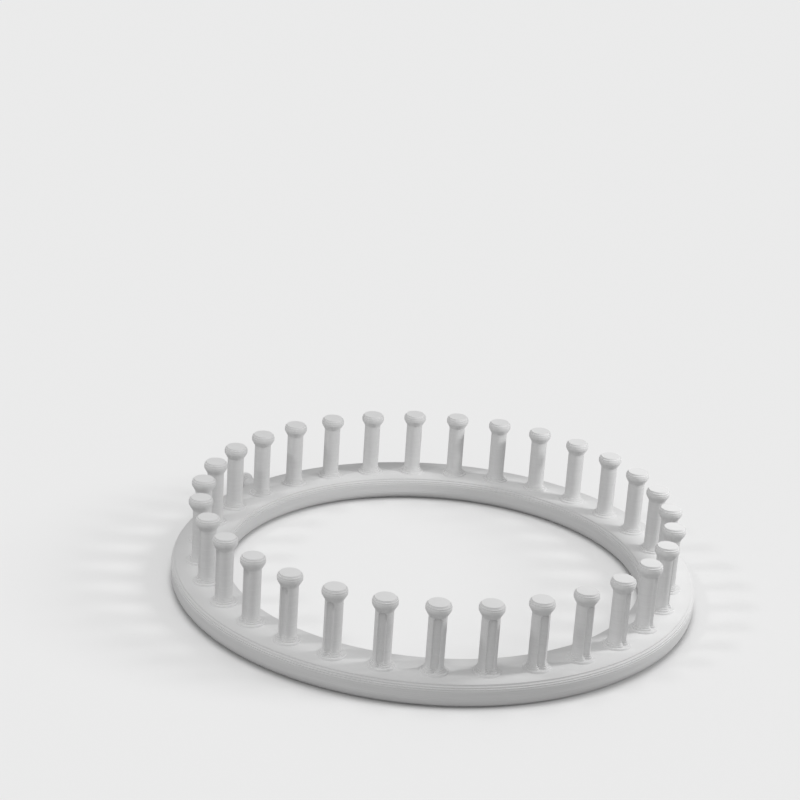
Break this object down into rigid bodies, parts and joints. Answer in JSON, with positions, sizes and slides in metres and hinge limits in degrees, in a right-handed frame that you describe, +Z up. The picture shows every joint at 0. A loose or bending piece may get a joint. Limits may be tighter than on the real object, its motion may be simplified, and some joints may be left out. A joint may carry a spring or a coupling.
{
  "type": "round knitting loom",
  "caption": "Round knitting loom: a flat plastic ring with upright grooved mushroom-headed pegs and a sideways anchor peg that holds the yarn's tail.",
  "frame": {"origin": "on the ring's axis, in the plane of the ring's underside", "axes": "+Z up along the ring's axis and the pegs, +Y out along the anchor peg; the YZ plane is the mirror plane"},
  "size_m": [0.19, 0.2004, 0.0328],
  "materials": {
    "ring_plastic": "matte, fine layer lines",
    "peg_plastic": "matte, fine layer lines"
  },
  "bodies": {
    "root": {"ring": "ring_plastic", "anchor_peg": "peg_plastic", "peg_01": "peg_plastic", "peg_02": "peg_plastic", "peg_03": "peg_plastic", "peg_04": "peg_plastic", "peg_05": "peg_plastic", "peg_06": "peg_plastic", "peg_07": "peg_plastic", "peg_08": "peg_plastic", "peg_09": "peg_plastic", "peg_10": "peg_plastic", "peg_11": "peg_plastic", "peg_12": "peg_plastic", "peg_13": "peg_plastic", "peg_14": "peg_plastic", "peg_15": "peg_plastic", "peg_16": "peg_plastic", "peg_17": "peg_plastic", "peg_18": "peg_plastic", "peg_19": "peg_plastic", "peg_20": "peg_plastic", "peg_21": "peg_plastic", "peg_22": "peg_plastic", "peg_23": "peg_plastic", "peg_24": "peg_plastic", "peg_25": "peg_plastic", "peg_26": "peg_plastic", "peg_27": "peg_plastic", "peg_28": "peg_plastic", "peg_29": "peg_plastic", "peg_30": "peg_plastic", "peg_31": "peg_plastic"}
  },
  "joints": []
}
